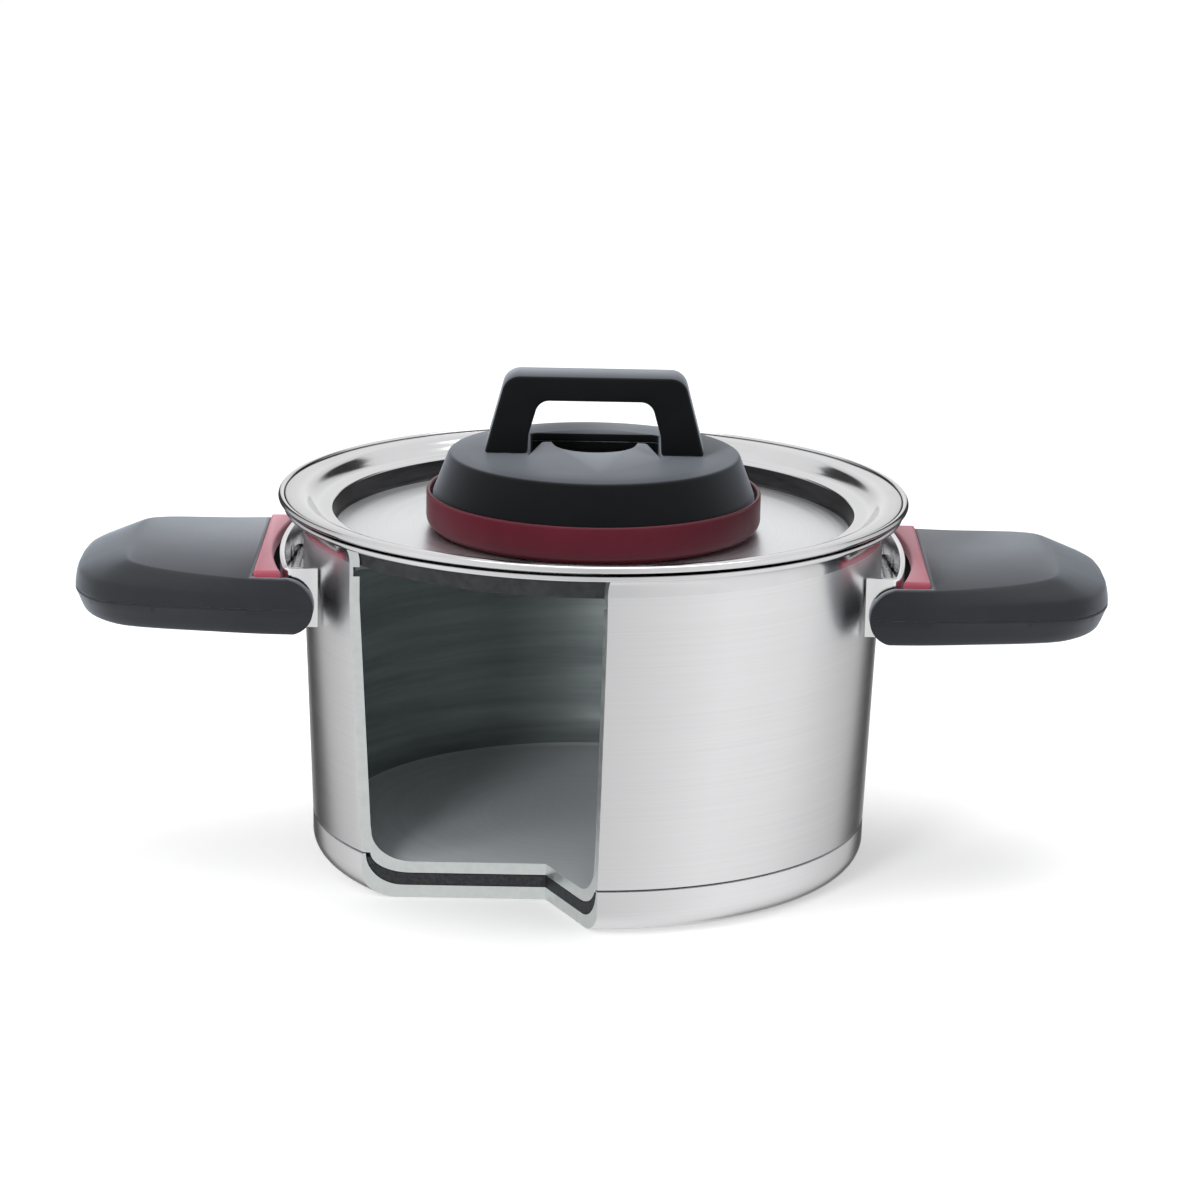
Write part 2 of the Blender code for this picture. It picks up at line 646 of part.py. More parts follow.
def make_side_handle(side, heading_deg):
    """Every piece of one side handle, in a frame whose Y axis is the hinge axis."""
    heading = Matrix.Rotation(math.radians(heading_deg), 4, "Z")
    pivot = bpy.data.objects.new("hinge_" + side, None)
    bpy.context.scene.collection.objects.link(pivot)
    pivot.matrix_world = heading @ Matrix.Translation((HINGE_X, 0, HINGE_Z))
    along_y = Matrix.Rotation(math.radians(90), 4, "X")

    bm = bmesh.new()
    prism(bm, side_profile(), -60 * MM, 60 * MM, along_y)
    profile_tool = add_object("handle_profile_" + side, bm, None, pivot)

    root_tools = []
    for shell, radius in (("upper", ROOT_CLEARANCE_R), ("lower", FOLDED_CLEARANCE_R)):
        bm = bmesh.new()
        rod(bm, radius, -CHEEK_Y, CHEEK_Y, (0, 0), 24, along_y)
        root_tools.append(add_object("handle_root_" + shell + "_" + side, bm, None, pivot))
    bm = bmesh.new()
    mouth_y = CHEEK_Y + 0.2 * MM
    block(bm, (-20 * MM, -mouth_y, -20 * MM), (6.3 * MM, mouth_y, 20 * MM))
    mouth_tool = add_object("handle_mouth_" + side, bm, None, pivot)
    bm = bmesh.new()
    rod(bm, 2.4 * MM, -51.2 * MM, 51.2 * MM, (0, 0), 12, along_y)
    bore_tool = add_object("handle_bore_" + side, bm, None, pivot)

    bm = bmesh.new()
    shell_body(bm, handle_levels("upper"))
    upper = add_object("handle_upper_" + side, bm, "charcoal", pivot)
    bm = bmesh.new()
    shell_body(bm, handle_levels("lower"))
    lower = add_object("handle_lower_" + side, bm, "charcoal", pivot)
    for shell, root_tool in zip((upper, lower), root_tools):
        boolean(shell, profile_tool, "INTERSECT")
        boolean(shell, root_tool)
        boolean(shell, bore_tool)
    boolean(upper, mouth_tool)

    bm = bmesh.new()
    wall_clearance = POT_R + 1.3 * MM
    turn(bm, [(0, 60 * MM), (wall_clearance, 60 * MM), (wall_clearance, -140 * MM), (0, -140 * MM)],
         56, matrix=fold_clearance())
    scoop = add_object("handle_scoop_" + side, bm, None, pivot)
    boolean(lower, scoop)

    bm = bmesh.new()
    recess_outline = scaled([(-15, -47.4), (12.7, -47.4), (12.7, 47.4), (-15, 47.4)])
    prism(bm, recess_outline, 6.2 * MM, 20 * MM)
    recess = add_object("button_recess_" + side, bm, None, pivot)
    boolean(upper, recess)
    bm = bmesh.new()
    cavity_outline = scaled([(14, -34), (44, -34), (56, -24), (56, 24), (44, 34), (14, 34)])
    prism(bm, cavity_outline, -5 * MM, 8.2 * MM)
    cavity = add_object("handle_cavity_" + side, bm, None, pivot)
    boolean(upper, cavity)
    bm = bmesh.new()
    block(bm, (4 * MM, -12.6 * MM, 4.3 * MM), (20 * MM, 12.6 * MM, 8.1 * MM))
    slot = add_object("catch_slot_" + side, bm, None, pivot)
    boolean(upper, slot)

    places = scaled([(30, 41), (30, -41), (66, 0)])
    bm = bmesh.new()
    for place in places:
        turn(bm, scaled([(0, 6.4), (1.9, 6.4), (1.9, -5.6), (3.6, -5.6), (3.6, -14), (0, -14)]), 12, place)
    screw_tool = add_object("screw_bores_" + side, bm, None, pivot)
    boolean(upper, screw_tool)
    boolean(lower, screw_tool)
    profile = scaled([(0, 5.8), (1.5, 5.8), (1.5, -5.9), (3.2, -5.9), (3.2, -7.3), (0, -7.7)])
    for letter, place in zip(LETTERS, places):
        screw("shell_screw_" + side + "_" + letter, profile, place, pivot)

    bm = bmesh.new()
    rod(bm, PIN_R, -50.6 * MM, 50.6 * MM, (0, 0), 12, along_y)
    add_object("hinge_pin_" + side, bm, "steel", pivot)

    make_release(side, pivot)
    make_bracket(side, pivot)


def make_release(side, pivot):
    """Release button on the handle's root, its catch plate and its return spring."""
    half_y = 46.6 * MM
    inner = bulge(half_y, 1.6 * MM, 7.4 * MM)
    outline = inner + [(12.0 * MM, half_y), (12.0 * MM, -half_y)]
    inset = bulge(half_y - 0.9 * MM, 2.5 * MM, 8.2 * MM)
    inset += [(11.1 * MM, half_y - 0.9 * MM), (11.1 * MM, 0.9 * MM - half_y)]
    levels = [
        [(x, y, 8.6 * MM) for x, y in outline],
        [(x, y, 12.5 * MM) for x, y in outline],
        [(x, y, 13.3 * MM) for x, y in inset],
    ]
    bm = bmesh.new()
    loft(bm, levels)
    add_object("release_button_" + side, bm, "burgundy", pivot)
    bm = bmesh.new()
    block(bm, (8.0 * MM, -12 * MM, 6.8 * MM), (24 * MM, 12 * MM, 8.0 * MM))
    add_object("catch_plate_" + side, bm, "steel", pivot)
    bm = bmesh.new()
    coil(bm, (19 * MM, 0), 2.6 * MM, 0.45 * MM, 0.2 * MM, 6.5 * MM, 4)
    add_object("release_spring_" + side, bm, "steel", pivot)


def make_bracket(side, pivot):
    """Folded sheet loop on the pot's wall: two cheeks and a bowed front."""
    half = BRACKET_HALF_Y
    sheet = BRACKET_SHEET
    outer = bulge(half, 1.0 * MM, 4.7 * MM)
    inner = bulge(half - sheet, 1.0 * MM - sheet, 4.7 * MM - sheet)
    wall_outer = -12.4 * MM
    wall_inner = -11.6 * MM
    outline = [(wall_outer, -half)] + outer + [(wall_outer, half), (wall_inner, half - sheet)]
    outline += inner[::-1] + [(wall_inner, sheet - half)]
    bm = bmesh.new()
    prism(bm, outline, BRACKET_BOTTOM - HINGE_Z, BRACKET_TOP - HINGE_Z)
    bracket = add_object("bracket_" + side, bm, "polished", pivot)
    bm = bmesh.new()
    rod(bm, 2.4 * MM, -60 * MM, 60 * MM, (0, 0), 12, Matrix.Rotation(math.radians(90), 4, "X"))
    tool = add_object("bracket_bore_" + side, bm, None, pivot)
    boolean(bracket, tool)


HOUSING_SCREWS = on_circle(48 * MM, 90)
BLOCK_SCREWS = on_circle(27 * MM, 30)
ARCH_SCREWS = [(-34.0 * MM, 0.0), (34.0 * MM, 0.0)]


def main():
    clear_scene()
    make_pot(make_window_cutter())
    make_lid()
    make_bolt_guides()
    make_bolts()
    make_cam_plate()
    make_valve_block()
    make_valves()
    make_housing()
    make_base_plate()
    make_arch()
    make_side_handle("right", 0.0)
    make_side_handle("left", 180.0)


main()
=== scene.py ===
"""Looks of the stovetop pressure cooker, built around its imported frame.

Outlines are in millimetres, as (radius, height) for turned pieces, and become metres in the meshes.
Side handle pieces are drawn about the hinge axis, pointing along +X, and placed on both sides.
"""

import json
import math

import bmesh
import bpy
from mathutils import Matrix, Vector


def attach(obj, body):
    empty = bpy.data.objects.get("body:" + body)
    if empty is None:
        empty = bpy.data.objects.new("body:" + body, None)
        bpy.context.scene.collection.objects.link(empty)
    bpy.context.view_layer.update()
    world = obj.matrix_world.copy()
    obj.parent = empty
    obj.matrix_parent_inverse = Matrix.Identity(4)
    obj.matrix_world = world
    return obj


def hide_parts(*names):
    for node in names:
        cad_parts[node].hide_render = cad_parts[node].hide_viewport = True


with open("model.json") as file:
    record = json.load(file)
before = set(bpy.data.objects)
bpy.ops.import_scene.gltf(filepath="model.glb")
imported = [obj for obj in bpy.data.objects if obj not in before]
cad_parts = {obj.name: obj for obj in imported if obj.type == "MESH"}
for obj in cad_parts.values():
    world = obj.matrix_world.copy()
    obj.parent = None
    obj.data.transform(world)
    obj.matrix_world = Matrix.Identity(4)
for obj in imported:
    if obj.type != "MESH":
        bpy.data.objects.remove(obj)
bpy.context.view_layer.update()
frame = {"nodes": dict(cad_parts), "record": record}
NODES = frame["nodes"]

MM = 0.001
FINE = 256                      # sides of the large turned pieces
MEDIUM = 96                     # sides of the small turned pieces

HINGE_X = 116.0
HINGE_Z = 108.5
FOLD_DEG = 80.0
WINDOW_Y = -66.0
WINDOW_CORNER_X = -15.7
WINDOW_FRONT_X = 6.0
POT_R = 112.0
WINDOW_TOP = 137.8


# ---------------------------------------------------------------- mesh tools

def arc(centre, radii, start_deg, end_deg, count):
    """Points of an elliptical arc, both ends included."""
    points = []
    for i in range(count + 1):
        angle = math.radians(start_deg + (end_deg - start_deg) * i / count)
        points.append((centre[0] + radii[0] * math.cos(angle), centre[1] + radii[1] * math.sin(angle)))
    return points


def flowing(points, per_span):
    """Smooth curve through the points of an open line."""
    padded = [points[0]] + list(points) + [points[-1]]
    curve = []
    for k in range(1, len(padded) - 2):
        p0, p1, p2, p3 = (Vector(padded[k + j]) for j in (-1, 0, 1, 2))
        for i in range(per_span):
            t = i / per_span
            bend = (2 * p0 - 5 * p1 + 4 * p2 - p3) * t * t + (3 * p1 - p0 - 3 * p2 + p3) * t ** 3
            curve.append(tuple(0.5 * (2 * p1 + (p2 - p0) * t + bend)))
    curve.append(tuple(points[-1]))
    return curve


def rounded(points, reach, count=5, closed=True):
    """Replace each corner by a curve that starts and ends at most reach away from it."""
    result = []
    total = len(points)
    for i, point in enumerate(points):
        if not closed and i in (0, total - 1):
            result.append(tuple(point))
            continue
        here = Vector(point)
        before = Vector(points[i - 1]) - here
        after = Vector(points[(i + 1) % total]) - here
        start = here + before.normalized() * min(reach, before.length * 0.45)
        end = here + after.normalized() * min(reach, after.length * 0.45)
        for k in range(count + 1):
            t = k / count
            result.append(tuple(start * (1 - t) ** 2 + here * (2 * t * (1 - t)) + end * t * t))
    return result


def offset_outline(outline, distance):
    """Move every edge of a counter-clockwise outline outwards by distance."""
    moved = []
    count = len(outline)
    for i, here in enumerate(outline):
        point = Vector(here)
        before = (point - Vector(outline[i - 1])).normalized()
        after = (Vector(outline[(i + 1) % count]) - point).normalized()
        normal_after = Vector((after.y, -after.x))
        bisector = (Vector((before.y, -before.x)) + normal_after).normalized()
        moved.append(tuple(point + bisector * distance / bisector.dot(normal_after)))
    return moved


def mesh_object(name, bm, sharp_deg=35.0):
    bmesh.ops.recalc_face_normals(bm, faces=bm.faces)
    mesh = bpy.data.meshes.new(name)
    bm.to_mesh(mesh)
    bm.free()
    mesh.shade_smooth()
    mesh.set_sharp_from_angle(angle=math.radians(sharp_deg))
    obj = bpy.data.objects.new(name, mesh)
    bpy.context.scene.collection.objects.link(obj)
    return obj


def turned(name, profile, steps=FINE, centre=(0.0, 0.0), sharp_deg=35.0):
    """Closed (radius, height) outline turned about a vertical line."""
    bm = bmesh.new()
    rings = []
    for radius, height in profile:
        if radius < 1e-6:
            rings.append([bm.verts.new((centre[0] * MM, centre[1] * MM, height * MM))])
            continue
        ring = []
        for step in range(steps):
            angle = math.tau * (step + 0.5) / steps
            x = centre[0] + radius * math.cos(angle)
            y = centre[1] + radius * math.sin(angle)
            ring.append(bm.verts.new((x * MM, y * MM, height * MM)))
        rings.append(ring)
    for first, second in zip(rings, rings[1:] + rings[:1]):
        if len(first) == 1 and len(second) == 1:
            continue
        if len(first) == 1 or len(second) == 1:
            ring = second if len(first) == 1 else first
            pole = first[0] if len(first) == 1 else second[0]
            for i in range(steps):
                bm.faces.new((ring[i], ring[(i + 1) % steps], pole))
            continue
        for i in range(steps):
            j = (i + 1) % steps
            bm.faces.new((first[i], first[j], second[j], second[i]))
    return mesh_object(name, bm, sharp_deg)


def lofted(name, levels, matrix=None, sharp_deg=35.0):
    """Closed body through rings of equal length, with a flat cap at each end."""
    bm = bmesh.new()
    rings = [[bm.verts.new(Vector(point) * MM) for point in level] for level in levels]
    count = len(rings[0])
    for lower, upper in zip(rings, rings[1:]):
        for i in range(count):
            j = (i + 1) % count
            bm.faces.new((lower[i], lower[j], upper[j], upper[i]))
    bm.faces.new(list(reversed(rings[0])))
    bm.faces.new(rings[-1])
    if matrix:
        bmesh.ops.transform(bm, matrix=matrix, verts=bm.verts)
    return mesh_object(name, bm, sharp_deg)


def prism(name, outline, low, high, matrix=None):
    return lofted(name, [[(x, y, low) for x, y in outline], [(x, y, high) for x, y in outline]], matrix)


def rod(name, radius, low, high, centre=(0.0, 0.0), steps=64, matrix=None):
    outline = arc(centre, (radius, radius), 0, 360 - 360 / steps, steps - 1)
    return prism(name, outline, low, high, matrix)


def apply_modifiers(obj, sharp_deg=35.0):
    depsgraph = bpy.context.evaluated_depsgraph_get()
    baked = bpy.data.meshes.new_from_object(obj.evaluated_get(depsgraph))
    obj.modifiers.clear()
    old = obj.data
    obj.data = baked
    bpy.data.meshes.remove(old)
    obj.data.shade_smooth()
    obj.data.set_sharp_from_angle(angle=math.radians(sharp_deg))


def combine(obj, tools, operation="DIFFERENCE", keep=False, sharp_deg=35.0):
    """Cut obj with each tool, or keep what they share, and drop the tools."""
    for tool in tools:
        modifier = obj.modifiers.new(tool.name, "BOOLEAN")
        modifier.operation = operation
        modifier.solver = "EXACT"
        modifier.object = tool
    apply_modifiers(obj, sharp_deg)
    if not keep:
        drop(tools)


def drop(tools):
    for tool in tools:
        mesh = tool.data
        bpy.data.objects.remove(tool)
        bpy.data.meshes.remove(mesh)


def soften(obj, width, segments=2, angle_deg=40.0):
    """Round every edge sharper than angle_deg."""
    modifier = obj.modifiers.new("soft edges", "BEVEL")
    modifier.width = width * MM
    modifier.segments = segments
    modifier.limit_method = "ANGLE"
    modifier.angle_limit = math.radians(angle_deg)
    modifier.use_clamp_overlap = True
    modifier.harden_normals = False
    apply_modifiers(obj)


def place(obj, body, node, slot, *materials):
    """Give the piece its materials and its body, and hide the CAD node it stands for; slot is not used."""
    obj.data.materials.clear()
    for mat in materials:
        obj.data.materials.append(mat)
    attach(obj, body)
    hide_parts(node)
    return obj


def paint(obj, pick):
    """Give each face the material number that pick(face centre in mm, normal) returns."""
    for polygon in obj.data.polygons:
        polygon.material_index = pick(polygon.center / MM, polygon.normal)


# ---------------------------------------------------------------- materials

class Nodes:
    """Node tree of one material, with short calls for the textures used here."""

    def __init__(self, name, colour, roughness, metallic=0.0, **sockets):
        self.mat = bpy.data.materials.new(name)
        self.mat.use_nodes = True
        self.tree = self.mat.node_tree
        self.shader = self.tree.nodes["Principled BSDF"]
        self.shader.inputs["Base Color"].default_value = (*colour, 1.0)
        self.shader.inputs["Roughness"].default_value = roughness
        self.shader.inputs["Metallic"].default_value = metallic
        for socket, value in sockets.items():
            self.shader.inputs[socket.replace("_", " ")].default_value = value
        self.last_normal = None

    def add(self, kind, **values):
        node = self.tree.nodes.new(kind)
        for key, value in values.items():
            setattr(node, key, value)
        return node

    def link(self, source, target):
        self.tree.links.new(source, target)

    def place_coordinates(self, stretch=(1, 1, 1), tilt=(0, 0, 0)):
        coordinates = self.add("ShaderNodeTexCoord")
        mapping = self.add("ShaderNodeMapping")
        mapping.inputs["Scale"].default_value = stretch
        mapping.inputs["Rotation"].default_value = [math.radians(a) for a in tilt]
        self.link(coordinates.outputs["Object"], mapping.inputs["Vector"])
        return mapping.outputs["Vector"]

    def ring_coordinates(self, across, around):
        """Coordinates for marks that run in circles round the Z axis."""
        coordinates = self.add("ShaderNodeTexCoord")
        split = self.add("ShaderNodeSeparateXYZ")
        self.link(coordinates.outputs["Object"], split.inputs[0])
        flat = self.add("ShaderNodeCombineXYZ")
        self.link(split.outputs[0], flat.inputs[0])
        self.link(split.outputs[1], flat.inputs[1])
        radius = self.add("ShaderNodeVectorMath", operation="LENGTH")
        self.link(flat.outputs[0], radius.inputs[0])
        scaled = self.add("ShaderNodeMath", operation="MULTIPLY")
        scaled.inputs[1].default_value = across
        self.link(radius.outputs["Value"], scaled.inputs[0])
        slow = self.add("ShaderNodeVectorMath", operation="SCALE")
        slow.inputs["Scale"].default_value = around
        self.link(flat.outputs[0], slow.inputs[0])
        lifted = self.add("ShaderNodeCombineXYZ")
        self.link(scaled.outputs[0], lifted.inputs[2])
        total = self.add("ShaderNodeVectorMath", operation="ADD")
        self.link(slow.outputs[0], total.inputs[0])
        self.link(lifted.outputs[0], total.inputs[1])
        return total.outputs[0]

    def noise(self, vector, scale=1.0, detail=3.0, roughness=0.6):
        node = self.add("ShaderNodeTexNoise")
        node.inputs["Scale"].default_value = scale
        node.inputs["Detail"].default_value = detail
        node.inputs["Roughness"].default_value = roughness
        self.link(vector, node.inputs["Vector"])
        return node.outputs["Fac"]

    def spread(self, value, low, high, from_low=0.3, from_high=0.7):
        node = self.add("ShaderNodeMapRange")
        node.inputs["From Min"].default_value = from_low
        node.inputs["From Max"].default_value = from_high
        node.inputs["To Min"].default_value = low
        node.inputs["To Max"].default_value = high
        self.link(value, node.inputs["Value"])
        return node.outputs["Result"]

    def tint(self, value, first, second, from_low=0.3, from_high=0.7):
        ramp = self.add("ShaderNodeValToRGB")
        ramp.color_ramp.elements[0].position = from_low
        ramp.color_ramp.elements[0].color = (*first, 1.0)
        ramp.color_ramp.elements[1].position = from_high
        ramp.color_ramp.elements[1].color = (*second, 1.0)
        self.link(value, ramp.inputs["Fac"])
        self.link(ramp.outputs["Color"], self.shader.inputs["Base Color"])

    def rough(self, value, low, high):
        self.link(self.spread(value, low, high), self.shader.inputs["Roughness"])

    def bump(self, value, strength, depth_mm):
        node = self.add("ShaderNodeBump")
        node.inputs["Strength"].default_value = strength
        node.inputs["Distance"].default_value = depth_mm * MM
        self.link(value, node.inputs["Height"])
        if self.last_normal:
            self.link(self.last_normal, node.inputs["Normal"])
        self.last_normal = node.outputs["Normal"]
        self.link(self.last_normal, self.shader.inputs["Normal"])

    def round_tangent(self):
        node = self.add("ShaderNodeTangent", direction_type="RADIAL", axis="Z")
        self.link(node.outputs["Tangent"], self.shader.inputs["Tangent"])


def satin_steel():
    """Pot wall: fine brush marks that run round the pot."""
    look = Nodes("satin_steel", (0.75, 0.75, 0.76), 0.30, 1.0, Anisotropic=0.72, Anisotropic_Rotation=0.25)
    look.round_tangent()
    lines = look.noise(look.place_coordinates((9, 9, 1500)), 1.0, 4.0)
    look.tint(lines, (0.735, 0.735, 0.745), (0.775, 0.775, 0.785))
    look.rough(look.noise(look.place_coordinates((14, 14, 700))), 0.28, 0.32)
    look.bump(lines, 0.02, 0.01)
    return look.mat


def shaded_inner_steel():
    """Inside of the pot, its base colour painted far darker than the outside steel as painted shade, with faint
    slanted brush marks.
    """
    look = Nodes("shaded_inner_steel", (0.20, 0.23, 0.23), 0.40, 0.55, Anisotropic=0.5, Anisotropic_Rotation=0.25)
    look.round_tangent()
    streaks = look.noise(look.place_coordinates((7, 7, 130), (0, 16, 0)), 1.0, 5.0, 0.65)
    look.tint(streaks, (0.22, 0.255, 0.260), (0.44, 0.49, 0.49), 0.30, 0.78)
    look.rough(streaks, 0.42, 0.30)
    return look.mat


def floor_steel():
    """Satin floor of the pot, turned in circles."""
    look = Nodes("floor_steel", (0.70, 0.73, 0.76), 0.42, 0.35)
    rings = look.noise(look.ring_coordinates(900, 6))
    look.tint(rings, (0.66, 0.69, 0.72), (0.73, 0.76, 0.79))
    look.rough(rings, 0.38, 0.50)
    return look.mat


def cut_steel():
    """Milled faces of the cutaway."""
    look = Nodes("cut_steel", (0.72, 0.76, 0.75), 0.36, 1.0)
    marks = look.noise(look.place_coordinates((300, 300, 300)), 1.0, 2.0)
    look.tint(marks, (0.69, 0.73, 0.72), (0.76, 0.80, 0.79))
    look.rough(marks, 0.32, 0.42)
    return look.mat


def polished_steel(name, grey):
    look = Nodes(name, (grey, grey, grey + 0.01), 0.12, 1.0)
    haze = look.noise(look.place_coordinates((30, 30, 30)), 1.0, 3.0)
    look.rough(haze, 0.09, 0.17)
    shade = (grey - 0.03, grey - 0.03, grey - 0.02)
    look.tint(haze, shade, (grey + 0.02, grey + 0.02, grey + 0.03))
    return look.mat


def spun_steel():
    """Lid disc: brushed in circles."""
    look = Nodes("spun_steel", (0.86, 0.87, 0.89), 0.30, 1.0, Anisotropic=0.6, Anisotropic_Rotation=0.25)
    look.round_tangent()
    rings = look.noise(look.ring_coordinates(1600, 5), 1.0, 4.0)
    look.tint(rings, (0.82, 0.83, 0.85), (0.90, 0.91, 0.93))
    look.rough(rings, 0.28, 0.40)
    look.bump(rings, 0.06, 0.02)
    return look.mat


def shadow_steel():
    """Step wall and grooves of the lid: steel painted near-black as painted shade in these recesses."""
    look = Nodes("shadow_steel", (0.05, 0.05, 0.052), 0.35, 1.0)
    marks = look.noise(look.place_coordinates((40, 40, 300)))
    look.tint(marks, (0.035, 0.035, 0.037), (0.075, 0.075, 0.078))
    look.rough(marks, 0.30, 0.42)
    return look.mat


def plain_steel(name, grey, roughness):
    """Sheet and turned steel of the inner parts."""
    look = Nodes(name, (grey, grey, grey), roughness, 1.0)
    marks = look.noise(look.place_coordinates((160, 160, 500)))
    look.tint(marks, (grey * 0.9, grey * 0.9, grey * 0.91), (grey * 1.1, grey * 1.1, grey * 1.1))
    look.rough(marks, roughness - 0.05, roughness + 0.07)
    return look.mat


def core_metal():
    look = Nodes("core_metal", (0.055, 0.058, 0.062), 0.55, 1.0)
    grain = look.noise(look.place_coordinates((700, 700, 700)), 1.0, 3.0)
    look.tint(grain, (0.045, 0.048, 0.052), (0.080, 0.084, 0.088))
    look.bump(grain, 0.15, 0.05)
    return look.mat


def plastic(name, dark, light, roughness, specular, haze, haze_tint, grain=0.10):
    """Moulded plastic with a fine eroded grain that whitens at a glancing view."""
    look = Nodes(name, light, roughness, 0.0, Specular_IOR_Level=specular, Sheen_Weight=haze,
                 Sheen_Roughness=0.35, Sheen_Tint=(*haze_tint, 1.0))
    cloud = look.noise(look.place_coordinates((22, 22, 22)), 1.0, 4.0)
    look.tint(cloud, dark, light)
    look.rough(cloud, roughness - 0.04, roughness + 0.05)
    fine = look.noise(look.place_coordinates((1500, 1500, 1500)), 1.0, 2.0)
    look.bump(fine, grain, 0.04)
    return look.mat


def rubber():
    look = Nodes("rubber", (0.016, 0.017, 0.018), 0.72, 0.0, Specular_IOR_Level=0.3)
    dust = look.noise(look.place_coordinates((260, 260, 260)), 1.0, 3.0)
    look.tint(dust, (0.012, 0.013, 0.014), (0.024, 0.025, 0.027))
    look.bump(dust, 0.10, 0.05)
    return look.mat


SATIN = satin_steel()
INNER_SHADE = shaded_inner_steel()
FLOOR_STEEL = floor_steel()
CUT = cut_steel()
POLISHED = polished_steel("polished_steel", 0.86)
LID_STEEL = polished_steel("lid_steel", 0.69)
SPUN = spun_steel()
SHADOW = shadow_steel()
DARK_STEEL = plain_steel("dark_steel", 0.16, 0.36)
BRIGHT_STEEL = plain_steel("bright_steel", 0.66, 0.26)
CORE = core_metal()
COOL = (0.80, 0.88, 1.0)
ROSE = (1.0, 0.62, 0.72)
BLACK = plastic("black_plastic", (0.0030, 0.0032, 0.0038), (0.0050, 0.0053, 0.0060), 0.42, 0.06, 0.46, COOL)
CHARCOAL = plastic("charcoal_plastic", (0.010, 0.0112, 0.0136), (0.0148, 0.0162, 0.0195), 0.44, 0.22, 0.46, COOL)
BURGUNDY = plastic("burgundy_plastic", (0.060, 0.0055, 0.012), (0.082, 0.0080, 0.017), 0.34, 0.22, 0.05,
                   ROSE, 0.05)
# lighter, pinker copy of the burgundy plastic with strong sheen: painted highlight for the light on the release
# bars' tops
LIT_BURGUNDY = plastic("lit_burgundy_plastic", (0.27, 0.040, 0.066), (0.31, 0.048, 0.078), 0.40, 0.55, 0.70, ROSE, 0.05)
RUBBER = rubber()


# ---------------------------------------------------------------- pot

def window_tool():
    outside = POT_R + 20
    slope = (WINDOW_FRONT_X - WINDOW_CORNER_X) / (-POT_R - WINDOW_Y)
    front_x = WINDOW_CORNER_X + slope * (-outside - WINDOW_Y)
    outline = [(-outside, -outside), (front_x, -outside), (WINDOW_CORNER_X, WINDOW_Y), (-outside, WINDOW_Y)]
    return prism("window_tool", outline, -10, WINDOW_TOP)


def on_cut(centre):
    """Whether a point lies on one of the window's cut planes."""
    if abs(centre.y - WINDOW_Y) < 0.02:
        return True
    across = Vector((WINDOW_FRONT_X - WINDOW_CORNER_X, -POT_R - WINDOW_Y)).normalized()
    away = Vector((centre.x - WINDOW_CORNER_X, centre.y - WINDOW_Y))
    if abs(away.x * across.y - away.y * across.x) < 0.02 and away.y < 0:
        return True
    return abs(centre.z - WINDOW_TOP) < 0.01


def pot_faces(centre, normal):
    if on_cut(centre):
        return 3
    radius = math.hypot(centre.x, centre.y)
    outward = (normal.x * centre.x + normal.y * centre.y) / max(radius, 1e-6)
    if centre.z > 129.5:
        return 4
    # inward-facing wall faces take the darkened inner steel: painted shade
    if outward < -0.3 and radius > 100:
        return 1
    if centre.z < 40 and radius < 105.3 and normal.z > 0.05:
        return 2 if centre.z < 14.6 else 1
    return 0


def make_pot():
    window = window_tool()
    profile = [(0, 14.0)] + arc((93.2, 26), (12, 12), -90, 0, 16)
    profile += [(105.4, 28), (109, 116), (109, 125.2), (110.9, 125.2), (110.9, 128.8), (109, 128.8)]
    profile += arc((115, 130.5), (6, 9.8), 180, 96, 12)
    profile += arc((118.8, 139.2), (0.9, 1.1), 90, -90, 8)
    profile += arc((115.8, 130.5), (3.8, 7.6), 85, 180, 10)
    profile += [(112, 116), (108.05, 18.0), (107.8, 17.55), (107.3, 17.4)]
    profile += arc((94, 17.3), (11.4, 7.7), 0, -90, 14) + [(0, 9.6)]
    body = turned("pot_wall", profile)
    combine(body, [window], keep=True)
    place(body, "pot", "pot_body", "satin_steel", SATIN, INNER_SHADE, FLOOR_STEEL, CUT, LID_STEEL)
    paint(body, pot_faces)

    profile = [(0, 9.3)] + arc((94, 17.3), (11.7, 8), -90, -12, 12)
    profile += arc((96, 17), (10.5, 12), -8, -90, 14) + [(0, 5)]
    core = turned("heat_core", profile)
    combine(core, [window], keep=True)
    place(core, "pot", "base_core", "base_aluminium", CORE)

    profile = [(0, 4.7)] + arc((96, 17), (10.8, 12.3), -90, 0, 14)
    profile += [(107.4, 16.9), (107.85, 16.7), (108, 16.3)]
    profile += arc((98, 9.5), (10, 9.5), 0, -90, 16) + [(0, 0)]
    capsule = turned("base_shell", profile)
    combine(capsule, [window])
    place(capsule, "pot", "base_capsule", "satin_steel", SATIN, CUT)
    paint(capsule, lambda centre, normal: 1 if on_cut(centre) else 0)


# ---------------------------------------------------------------- lid

def lid_faces(centre, normal):
    radius = math.hypot(centre.x, centre.y)
    if normal.z < -0.2 and centre.z < 143:
        return 0
    if radius < 99.7:
        return 1
    # the step wall here and the rim groove below take the near-black steel: painted shade
    if radius < 101.0 and 129.9 < centre.z < 137.6:
        return 2
    if 118.75 < radius < 119.6 and centre.z < 143.6:
        return 2
    return 0


